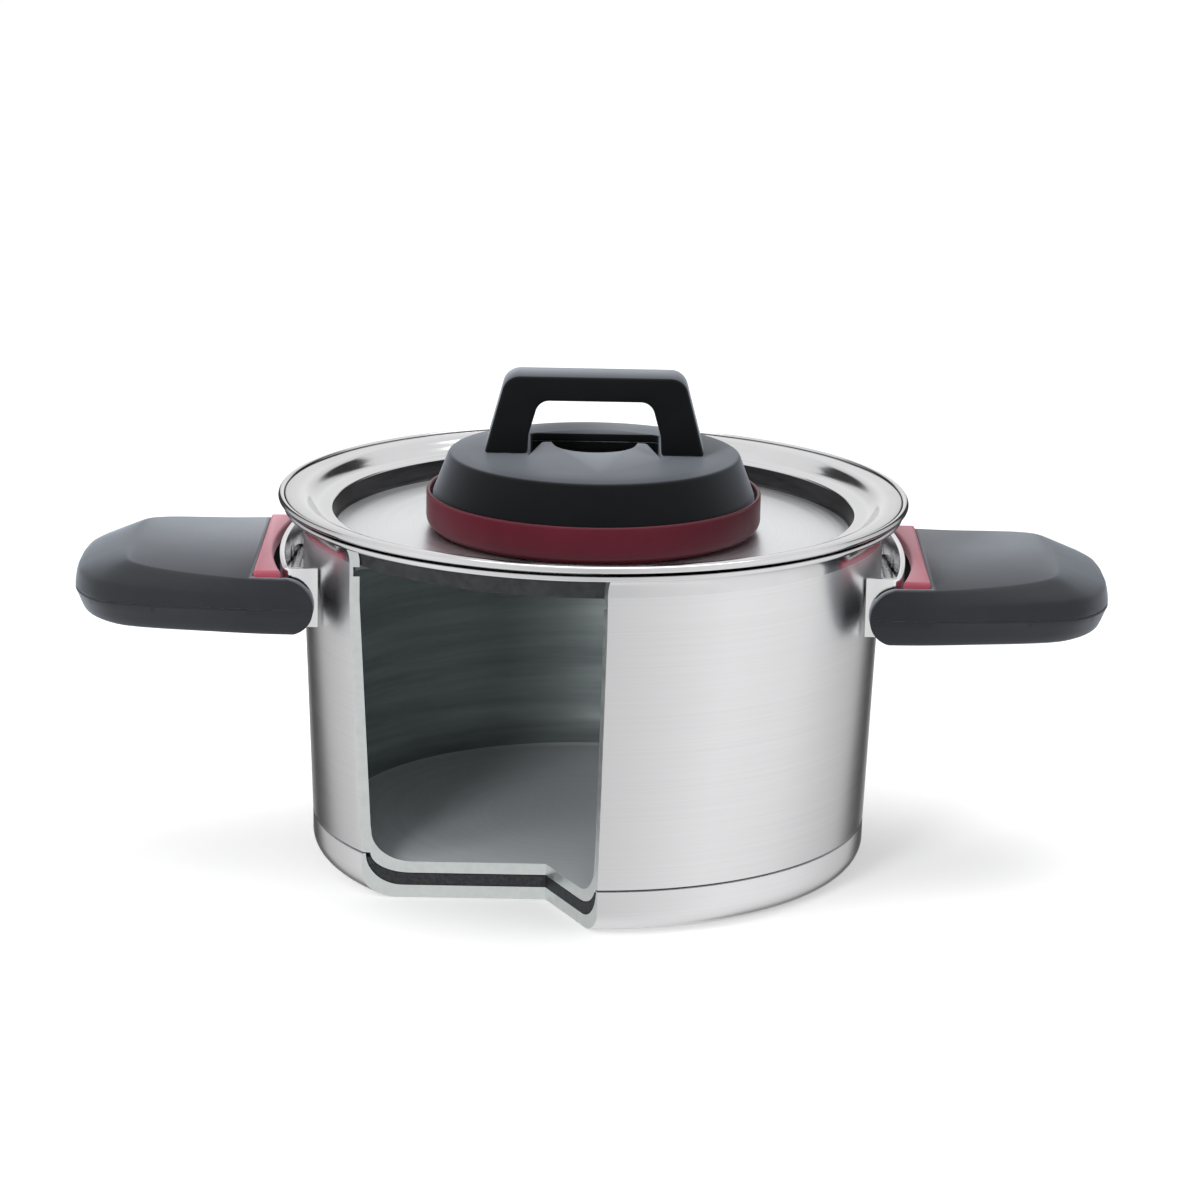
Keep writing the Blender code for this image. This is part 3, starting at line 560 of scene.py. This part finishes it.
def make_lid():
    profile = [(26.5, 130.0), (99.2, 130.0)] + arc((99.2, 131.3), (1.3, 1.3), -90, 0, 5)[1:]
    profile += [(100.5, 136.9)] + arc((101.7, 136.9), (1.2, 1.25), 180, 90, 6)[1:]
    flange = [(103.6, 138.3), (106.2, 138.8), (108.4, 140.1), (110.9, 142.3), (113.6, 143.3), (116.2, 143.5)]
    profile += flowing(flange, 6) + [(118.5, 143.5), (118.9, 143.35), (119.1, 143.0), (119.3, 143.1)]
    profile += arc((120.5, 142.9), (1.2, 1.3), 150, -100, 14)
    profile += [(119.0, 142.1), (112.6, 142.0), (109.0, 138.9), (105.4, 137.1), (101.9, 136.9)]
    profile += [(101.9, 129.3), (100.8, 128.6), (26.5, 128.6)]
    lid = turned("lid_dish", profile)
    place(lid, "lid", "lid_shell", "polished_steel", LID_STEEL, SPUN, SHADOW)
    paint(lid, lid_faces)

    lip = [(108.0, 129.2), (108.5, 133.0), (110.0, 137.0), (111.0, 140.1)]
    profile = [(102.2, 129.0)] + flowing(lip, 6) + [(109.0, 138.4), (105.5, 136.7), (102.2, 136.5)]
    place(turned("rim_gasket", profile), "lid", "lid_gasket", "silicone", RUBBER)

    foot = [(61.6, 130.6), (63.4, 131.9), (64.4, 133.6), (64.65, 135.2)]
    profile = [(57.6, 130.3), (60.8, 130.3)] + flowing(foot, 4)
    profile += [(64.65, 144.2)] + arc((63.85, 144.2), (0.8, 0.8), 0, 180, 10)
    profile += [(63.05, 133.4), (57.6, 133.0)]
    place(turned("knob_base_ring", profile), "lid", "base_ring", "burgundy_plastic", BURGUNDY)


# ---------------------------------------------------------------- knob

def well_outline():
    """Finger well, seen from above, counter-clockwise."""
    lobe = arc((0, 13), (16, 16), 187, 353, 40)
    left = rounded([(-25.2, -9.5), (-20.4, 14.6), (-16.6, 15.0)], 2.0, 6, closed=False)
    right = [(-x, y) for x, y in left[::-1]]
    corner = 3.5
    back_right = arc((25.2 - corner, 30 - corner), (corner, corner), 0, 90, 10)
    back_left = arc((corner - 25.2, 30 - corner), (corner, corner), 90, 180, 10)
    return left + lobe + right + back_right + back_left


def make_knob():
    profile = [(0, 160.2), (41, 160.2)] + flowing([(45, 160.15), (50, 159.98), (54.6, 159.65)], 4)
    profile += arc((54.9, 157.9), (1.75, 1.7), 80, 20, 7)
    profile += [(62.0, 144.0), (62.2, 142.5), (62.2, 137.6), (59.5, 137.6), (59.5, 143.0)]
    profile += [(54.0, 156.4), (52.4, 157.3), (0, 157.3)]
    housing = turned("knob_dome", profile)
    bm = bmesh.new()
    bm.from_mesh(housing.data)
    poles = [vert for vert in bm.verts if math.hypot(vert.co.x, vert.co.y) < 1e-6]
    bmesh.ops.dissolve_verts(bm, verts=poles)
    bm.to_mesh(housing.data)
    bm.free()
    outline = well_outline()
    combine(housing, [prism("well_tool", outline, 150, 165)])
    round_well_edge(housing)
    place(housing, "knob", "knob_housing", "black_plastic", BLACK)

    tray = prism("well_tray", offset_outline(outline, 1.6), 146.0, 157.1)
    combine(tray, [prism("tray_tool", outline, 147.6, 170), rod("stem_tool", 3.2, 140, 150, (0, 13))])
    place(tray, "knob", "knob_well", "black_plastic", BLACK)

    button = [(0, 152.55), (7.6, 152.35)] + arc((8.2, 151.0), (1.4, 1.3), 80, -10, 6)
    button += [(9.5, 149.0), (9.0, 148.6), (0, 148.6)]
    cap = turned("steam_button", button, MEDIUM, (0, 13))
    place(cap, "steam_valve", "valve_button", "burgundy_plastic", BURGUNDY)


def round_well_edge(housing):
    """Small radius where the dome's top breaks into the finger well."""
    bm = bmesh.new()
    bm.from_mesh(housing.data)
    bm.edges.ensure_lookup_table()
    top = 160.2 * MM
    rim = []
    for edge in bm.edges:
        if all(abs(vert.co.z - top) < 1e-6 for vert in edge.verts):
            if all(math.hypot(vert.co.x, vert.co.y) < 40.9 * MM for vert in edge.verts):
                if len(edge.link_faces) == 2 and edge.calc_face_angle(0) > 1.0:
                    rim.append(edge)
    bmesh.ops.bevel(bm, geom=rim, offset=0.45 * MM, segments=3, profile=0.5, affect="EDGES")
    bm.to_mesh(housing.data)
    bm.free()
    housing.data.shade_smooth()
    housing.data.set_sharp_from_angle(angle=math.radians(35))


def make_arch():
    outer_corner = arc((28.8, 183.8), (7, 7), 14, 90, 14)
    outer_left = [(-x, z) for x, z in outer_corner[::-1]]
    inner_corner = arc((17.5, 175.9), (5.4, 5.4), 15, 90, 10)
    inner_left = [(-x, z) for x, z in inner_corner]
    outline = [(25.7, 160.5), (42.3, 160.5)] + outer_corner + outer_left
    outline += [(-42.3, 160.5), (-25.7, 160.5), (-25.2, 168.5)]
    outline += inner_left + inner_corner[::-1] + [(25.2, 168.5)]
    upright = Matrix.Rotation(math.radians(90), 4, "X")
    arch = prism("knob_arch", outline, -10, 10, upright)
    soften(arch, 1.3, 3, 60)
    screw_tools = [rod("arch_tool", 1.9, 150, 173, (x, 0)) for x in (-34, 34)]
    combine(arch, screw_tools)
    place(arch, "knob", "arch_handle", "black_plastic", BLACK)


# ---------------------------------------------------------------- side handles

def bulge(half_y, edge_x, middle_x, count=32):
    """Points of a flat arc from -half_y to half_y, furthest out in the middle."""
    points = []
    for i in range(count + 1):
        y = -half_y + 2 * half_y * i / count
        points.append((middle_x - (middle_x - edge_x) * (y / half_y) ** 2, y))
    return points


SEAM = [
    (-12, 54.6), (8, 54.6), (30, 53.0), (48, 51.0), (62, 48.2),
    (71, 43.8), (77.5, 35.5), (81.8, 24.0), (83.5, 8.0),
]
TOP = [
    (-12, 51.6), (8, 51.0), (26, 47.8), (42, 44.4), (53, 40.6),
    (59.5, 35.5), (62.0, 28.0), (63.0, 17.0), (63.3, 6.0),
]
FOOT = [
    (-12, 50.6), (8, 50.2), (30, 47.6), (48, 45.0), (60, 42.0),
    (68, 37.5), (74, 30.5), (78, 20.0), (79.8, 7.0),
]
# (share of the way from the seam's outline to the far one, height as a share of the whole)
UPPER_STAGES = [
    (0.02, 0.012), (0.0, 0.05), (0.01, 0.20), (0.045, 0.40), (0.08, 0.49), (0.20, 0.58),
    (0.45, 0.72), (0.72, 0.865), (0.80, 0.905), (0.90, 0.952), (0.98, 0.985), (1.06, 1.0),
]
LOWER_STAGES = [
    (0.02, 0.014), (0.0, 0.06), (0.27, 0.32), (0.52, 0.60), (0.63, 0.705), (0.75, 0.81),
    (0.86, 0.895), (0.97, 0.962), (1.08, 1.0),
]


def top_height(x):
    """Height of the top face above the hinge axis, which climbs a little towards the tip."""
    return 11.0 + 2.5 * min(max((x - 10.0) / 50.0, 0.0), 1.08) ** 1.7


def shell_levels(stages, far, height_at):
    levels = []
    for share, height in stages:
        half = [
            (a + (c - a) * share, b + (d - b) * share, height * height_at(c))
            for (a, b), (c, d) in zip(SEAM, far)
        ]
        smooth = flowing(half, 6)
        levels.append(smooth + [(x, -y, z) for x, y, z in smooth[::-1]])
    return levels


def shell_body(name, levels):
    """Closed body through mirrored rings, capped with strips across its width."""
    bm = bmesh.new()
    rings = [[bm.verts.new(Vector(point) * MM) for point in level] for level in levels]
    count = len(rings[0])
    for lower, upper in zip(rings, rings[1:]):
        for i in range(count):
            j = (i + 1) % count
            bm.faces.new((lower[i], lower[j], upper[j], upper[i]))
    for ring in (rings[0], rings[-1]):
        for i in range(count // 2 - 1):
            bm.faces.new((ring[i], ring[i + 1], ring[count - 2 - i], ring[count - 1 - i]))
    return mesh_object(name, bm)


def handle_profile():
    nose = arc((0, 0), (11, 11), 82, 270, 40)
    return nose + [(60, -10.7), (85.5, -7.6), (85.5, 18), (10, 18), (4, 12)]


def make_side_handle(side, heading_deg):
    heading = Matrix.Rotation(math.radians(heading_deg), 4, "Z")
    place_it = heading @ Matrix.Translation((HINGE_X * MM, 0, HINGE_Z * MM))
    along_y = Matrix.Rotation(math.radians(90), 4, "X")

    outline = prism("profile_tool", handle_profile(), -60, 60, along_y)
    root = rod("root_tool", 11.8, -44.8, 44.8, (0, 0), 96, along_y)
    fold_root = rod("fold_root_tool", 13.5, -44.8, 44.8, (0, 0), 96, along_y)
    bore = rod("bore_tool", 2.4, -51.2, 51.2, (0, 0), 32, along_y)
    mouth = prism("mouth_tool", [(-20, -45), (6.3, -45), (6.3, 45), (-20, 45)], -20, 20)
    recess_outline = rounded([(-15, -47.4), (12.7, -47.4), (12.7, 47.4), (-15, 47.4)], 1.6, 5)
    recess = prism("recess_tool", recess_outline, 6.2, 20)
    cavity = prism("cavity_tool", [(14, -34), (44, -34), (56, -24), (56, 24), (44, 34), (14, 34)], -5, 8.2)
    slot = prism("slot_tool", [(4, -12.6), (20, -12.6), (20, 12.6), (4, 12.6)], 4.3, 8.1)
    fold = Matrix.Rotation(math.radians(-FOLD_DEG), 4, "Y") @ Matrix.Translation((-HINGE_X * MM, 0, 0))
    scoop = rod("scoop_tool", POT_R + 1.3, -140, 60, (0, 0), 200, fold)
    bores = [rod("screw_tool", 1.9, -9, 6.4, spot, 24) for spot in ((30, 41), (30, -41), (66, 0))]
    mouths = [rod("head_tool", 3.6, -14, -5.6, spot, 32) for spot in ((30, 41), (30, -41), (66, 0))]

    upper = shell_body("handle_top_" + side, shell_levels(UPPER_STAGES, TOP, top_height))
    combine(upper, [outline], "INTERSECT", keep=True)
    combine(upper, [root, bore, mouth, recess, cavity, slot] + bores, keep=True)
    lower = shell_body("handle_bottom_" + side, shell_levels(LOWER_STAGES, FOOT, lambda x: -10.5))
    combine(lower, [outline], "INTERSECT", keep=True)
    combine(lower, [fold_root, bore, scoop] + bores + mouths, keep=True)
    drop([outline, root, fold_root, bore, mouth, recess, cavity, slot, scoop] + bores + mouths)
    for shell, node in ((upper, "handle_upper_"), (lower, "handle_lower_")):
        soften(shell, 0.45, 2, 45)
        shell.data.transform(place_it)
        place(shell, "handle_" + side, node + side, "charcoal_plastic", CHARCOAL)

    make_button(side, place_it)
    make_bracket(side, place_it)


def make_button(side, place_it):
    half_y = 46.6
    outline = bulge(half_y, 1.6, 7.4, 40)
    corners = rounded([outline[-1], (12.0, half_y), (12.0, -half_y), outline[0]], 1.2, 5, closed=False)
    outline = (outline[:-1] + corners[:-1])[::-1]
    levels = [[(x, y, 8.6) for x, y in outline], [(x, y, 12.3) for x, y in outline]]
    radius = 1.0
    for step in range(1, 6):
        angle = math.radians(90 * step / 5)
        inset = offset_outline(outline, -radius * (1 - math.cos(angle)))
        levels.append([(x, y, 12.3 + radius * math.sin(angle)) for x, y in inset])
    button = lofted("release_bar_" + side, levels, place_it)
    # the release bar takes the lighter burgundy copy: painted highlight
    place(button, "release_" + side, "release_button_" + side, "burgundy_plastic", LIT_BURGUNDY)


def make_bracket(side, place_it):
    sheet = 1.8
    half = 44.0
    front = bulge(half - sheet / 2, 1.0 - sheet / 2, 4.7 - sheet / 2, 40)
    first = rounded([(-12.2, -half + sheet / 2), front[0], front[3]], 2.6, 6, closed=False)
    last = rounded([front[-4], front[-1], (-12.2, half - sheet / 2)], 2.6, 6, closed=False)
    bent = first + front[4:-4] + last
    left = []
    right = []
    for i, here in enumerate(bent):
        before = Vector(bent[max(i - 1, 0)])
        after = Vector(bent[min(i + 1, len(bent) - 1)])
        across = (after - before).normalized()
        normal = Vector((across.y, -across.x)) * sheet / 2
        left.append(tuple(Vector(here) + normal))
        right.append(tuple(Vector(here) - normal))
    outline = left + right[::-1]
    bracket = prism("handle_bracket_" + side, outline, 99.5 - HINGE_Z, 122.3 - HINGE_Z)
    bore = rod("bore_tool", 2.4, -60, 60, (0, 0), 32, Matrix.Rotation(math.radians(90), 4, "X"))
    combine(bracket, [bore])
    soften(bracket, 0.35, 2, 50)
    bracket.data.transform(place_it)
    place(bracket, "pot", "bracket_" + side, "polished_steel", POLISHED)


# ---------------------------------------------------------------- carried-over nodes

def dress_cad_nodes():
    looks = {
        "dark_steel": DARK_STEEL,
        "satin_steel": BRIGHT_STEEL,
        "polished_steel": POLISHED,
        "base_aluminium": CORE,
        "black_plastic": BLACK,
        "charcoal_plastic": CHARCOAL,
        "burgundy_plastic": BURGUNDY,
        "silicone": RUBBER,
    }
    slot_of = {row["node"]: row["material_slot"] for row in frame["record"]["subparts"]}
    for name, node in NODES.items():
        if node.hide_render:
            continue
        mat = looks.get(slot_of.get(name), BRIGHT_STEEL)
        if node.material_slots:
            node.material_slots[0].material = mat
        else:
            node.data.materials.append(mat)


# ---------------------------------------------------------------- studio

TENT_R = 1.0
TENT_LOW = -1.6
TENT_HIGH = 0.9
# (degrees round from the front, brightness) of the reflection tent
TENT_SHADES = [
    (0, 0.74), (25, 0.86), (54, 1.04), (86, 0.96), (115, 0.70), (134, 0.56),
    (141, 0.05), (157, 0.04), (163, 0.80), (180, 1.0),
]


def make_tent():
    """Open cylinder that only reflections see: soft boxes, with a dark flag behind each side."""
    bm = bmesh.new()
    steps = 120
    rings = []
    for height in (TENT_LOW, TENT_HIGH):
        ring = []
        for step in range(steps):
            angle = math.tau * step / steps
            ring.append(bm.verts.new((TENT_R * math.cos(angle), TENT_R * math.sin(angle), height)))
        rings.append(ring)
    for i in range(steps):
        j = (i + 1) % steps
        bm.faces.new((rings[0][i], rings[0][j], rings[1][j], rings[1][i]))
    tent = mesh_object("reflection_tent", bm)
    mat = bpy.data.materials.new("tent_light")
    mat.use_nodes = True
    tree = mat.node_tree
    tree.nodes.remove(tree.nodes["Principled BSDF"])
    coordinates = tree.nodes.new("ShaderNodeTexCoord")
    split = tree.nodes.new("ShaderNodeSeparateXYZ")
    tree.links.new(coordinates.outputs["Object"], split.inputs[0])
    turned_y = tree.nodes.new("ShaderNodeMath")
    turned_y.operation = "MULTIPLY"
    turned_y.inputs[1].default_value = -1.0
    tree.links.new(split.outputs[1], turned_y.inputs[0])
    side = tree.nodes.new("ShaderNodeMath")
    side.operation = "ABSOLUTE"
    tree.links.new(split.outputs[0], side.inputs[0])
    angle = tree.nodes.new("ShaderNodeMath")
    angle.operation = "ARCTAN2"
    tree.links.new(side.outputs[0], angle.inputs[0])
    tree.links.new(turned_y.outputs[0], angle.inputs[1])
    share = tree.nodes.new("ShaderNodeMath")
    share.operation = "DIVIDE"
    share.inputs[1].default_value = math.pi
    tree.links.new(angle.outputs[0], share.inputs[0])
    ramp = tree.nodes.new("ShaderNodeValToRGB")
    elements = ramp.color_ramp.elements
    elements[0].position = 0.0
    elements[1].position = 1.0
    for degrees, shade in TENT_SHADES[1:-1]:
        elements.new(degrees / 180)
    for element, (degrees, shade) in zip(elements, TENT_SHADES):
        element.color = (shade / 1.1, shade / 1.1, shade / 1.1, 1.0)
    tree.links.new(share.outputs[0], ramp.inputs["Fac"])
    emission = tree.nodes.new("ShaderNodeEmission")
    emission.inputs["Strength"].default_value = 1.1
    tree.links.new(ramp.outputs["Color"], emission.inputs["Color"])
    tree.links.new(emission.outputs[0], tree.nodes["Material Output"].inputs["Surface"])
    tent.data.materials.append(mat)
    tent.visible_camera = False
    tent.visible_diffuse = False
    tent.visible_shadow = False
    tent.visible_transmission = False


def make_floor():
    bm = bmesh.new()
    steps = 96
    ring = []
    for step in range(steps):
        angle = math.tau * step / steps
        ring.append(bm.verts.new((14 * math.cos(angle), 14 * math.sin(angle), -0.0004)))
    bm.faces.new(ring)
    floor = mesh_object("studio_floor", bm)
    look = Nodes("pale_floor", (0.93, 0.93, 0.93), 0.9, 0.0, Specular_IOR_Level=0.1, Emission_Strength=0.10)
    look.shader.inputs["Emission Color"].default_value = (1, 1, 1, 1)
    floor.data.materials.append(look.mat)
    floor.visible_glossy = False


def area_light(name, location, target, size, power, glossy=True):
    light = bpy.data.lights.new(name, "AREA")
    light.shape = "DISK"
    light.size = size
    light.energy = power
    obj = bpy.data.objects.new(name, light)
    obj.location = location
    obj.rotation_mode = "QUATERNION"
    obj.rotation_quaternion = (Vector(target) - Vector(location)).to_track_quat("-Z", "Y")
    obj.visible_glossy = glossy
    bpy.context.scene.collection.objects.link(obj)


def make_studio():
    world = bpy.data.worlds.new("studio")
    bpy.context.scene.world = world
    world.use_nodes = True
    background = world.node_tree.nodes["Background"]
    background.inputs["Color"].default_value = (1, 1, 1, 1)
    background.inputs["Strength"].default_value = 0.95
    make_tent()
    make_floor()
    area_light("top_box", (0.1, 0.2, 1.7), (0, 0, 0.1), 1.4, 9.0)
    area_light("left_box", (-1.3, -0.9, 1.1), (0, 0, 0.1), 0.9, 5.0, glossy=False)
    area_light("window_box", (-0.75, -1.5, 0.45), (0, 0, 0.06), 0.5, 18.0, glossy=False)


def make_camera():
    camera = bpy.data.cameras.new("camera")
    camera.lens = 130.47
    camera.sensor_width = 36.0
    camera.clip_start = 0.05
    camera.clip_end = 60.0
    elevation = math.radians(14.996)
    roll = math.radians(1.03)
    aim = Vector((0.00191, 0.008475))
    forward = Vector((0, math.cos(elevation), -math.sin(elevation)))
    up = Vector((0, math.sin(elevation), math.cos(elevation)))
    forward = (forward + Vector((aim.x, 0, 0)) + up * aim.y).normalized()
    right = forward.cross(up).normalized()
    up = right.cross(forward)
    level_right = right * math.cos(roll) + up * math.sin(roll)
    level_up = up * math.cos(roll) - right * math.sin(roll)
    obj = bpy.data.objects.new("camera", camera)
    matrix = Matrix((level_right, level_up, -forward)).transposed().to_4x4()
    matrix.translation = Vector((0, -1.63865, 0.52484))
    obj.matrix_world = matrix
    bpy.context.scene.collection.objects.link(obj)
    bpy.context.scene.camera = obj
    bpy.context.scene.view_settings.view_transform = "Standard"


make_camera()
make_studio()
make_pot()
make_lid()
make_knob()
make_arch()
make_side_handle("right", 0.0)
make_side_handle("left", 180.0)
dress_cad_nodes()
